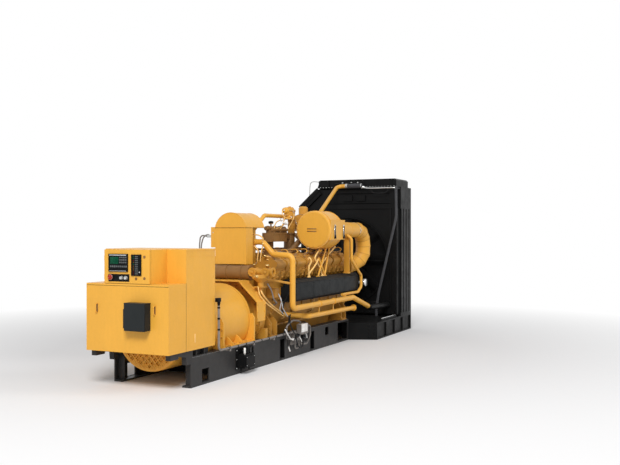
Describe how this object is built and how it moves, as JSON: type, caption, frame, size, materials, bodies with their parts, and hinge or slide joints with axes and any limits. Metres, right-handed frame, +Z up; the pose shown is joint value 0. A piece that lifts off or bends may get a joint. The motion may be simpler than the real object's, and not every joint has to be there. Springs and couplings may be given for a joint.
{
  "type": "gas generator set",
  "caption": "Skid-mounted gas generator set with control cabinets, round generator, V engine with air canister and ducts, and an upright radiator with fan.",
  "frame": {"origin": "on the floor under the centre of the whole set", "axes": "+X along the set from the control cabinets to the radiator, +Z up, -Y the service side with the air canister"},
  "size_m": [7.777, 2.1, 2.931],
  "materials": {
    "yellow_paint": "semi-gloss",
    "black_paint": "semi-gloss",
    "core_metal": "satin",
    "dark_cover": "satin",
    "dark_plastic": "satin",
    "red_plastic": "gloss",
    "pale_plastic": "satin",
    "conduit_grey": "satin"
  },
  "bodies": {
    "root": {"rail_left": "black_paint", "rail_right": "black_paint", "cross_member_rear": "black_paint", "cross_member_middle": "black_paint", "cross_member_front": "black_paint", "radiator_base": "black_paint", "radiator_frame": "black_paint", "radiator_core": "core_metal", "top_tank": "black_paint", "fan_shroud": "black_paint", "fan": "black_paint", "lower_cabinet": "yellow_paint", "tall_cabinet": "yellow_paint", "cabinet_brackets": "black_paint", "vent_cover": "black_paint", "control_housing": "yellow_paint", "generator_frame": "yellow_paint", "inlet_grille": "yellow_paint", "generator_feet": "yellow_paint", "coupling_guard": "yellow_paint", "flywheel_housing": "yellow_paint", "engine_block": "yellow_paint", "engine_feet": "yellow_paint", "front_housing": "yellow_paint", "heads_left": "yellow_paint", "heads_right": "yellow_paint", "side_box_left": "dark_cover", "side_box_right": "dark_cover", "heat_exchanger": "yellow_paint", "air_box": "yellow_paint", "gas_regulator": "yellow_paint", "intake_plenum": "yellow_paint", "turbocharger": "yellow_paint", "air_canister": "yellow_paint", "inlet_duct": "yellow_paint", "coolant_pipe": "yellow_paint", "lower_pipe": "yellow_paint", "engine_tubes": "yellow_paint", "riser_pipe": "yellow_paint", "vent_line": "black_paint", "rail_unit": "black_paint", "harness": "conduit_grey"},
    "panel_door": {"control_door": "yellow_paint", "display_module": "dark_plastic", "alarm_strip": "dark_plastic"},
    "stop_button": {"stop_button": "red_plastic"},
    "volt_knob": {"volt_knob": "pale_plastic"},
    "speed_knob": {"speed_knob": "pale_plastic"}
  },
  "joints": [
    {"name": "panel_door_hinge", "type": "hinge", "parent": "root", "child": "panel_door", "pos_m": [-3.7415, 0.345, 1.4935], "axis": [0, 0, -1], "range_deg": [0, 110]},
    {"name": "stop_push", "type": "slide", "parent": "panel_door", "child": "stop_button", "axis": [1, 0, 0], "range_m": [0, 0.006]},
    {"name": "volt_turn", "type": "hinge", "parent": "panel_door", "child": "volt_knob", "pos_m": [-3.7715, 0.0658, 1.3589], "axis": [1, 0, 0], "range_deg": [-135, 135]},
    {"name": "speed_turn", "type": "hinge", "parent": "panel_door", "child": "speed_knob", "pos_m": [-3.7715, 0, 1.3589], "axis": [1, 0, 0], "range_deg": [-135, 135]}
  ]
}
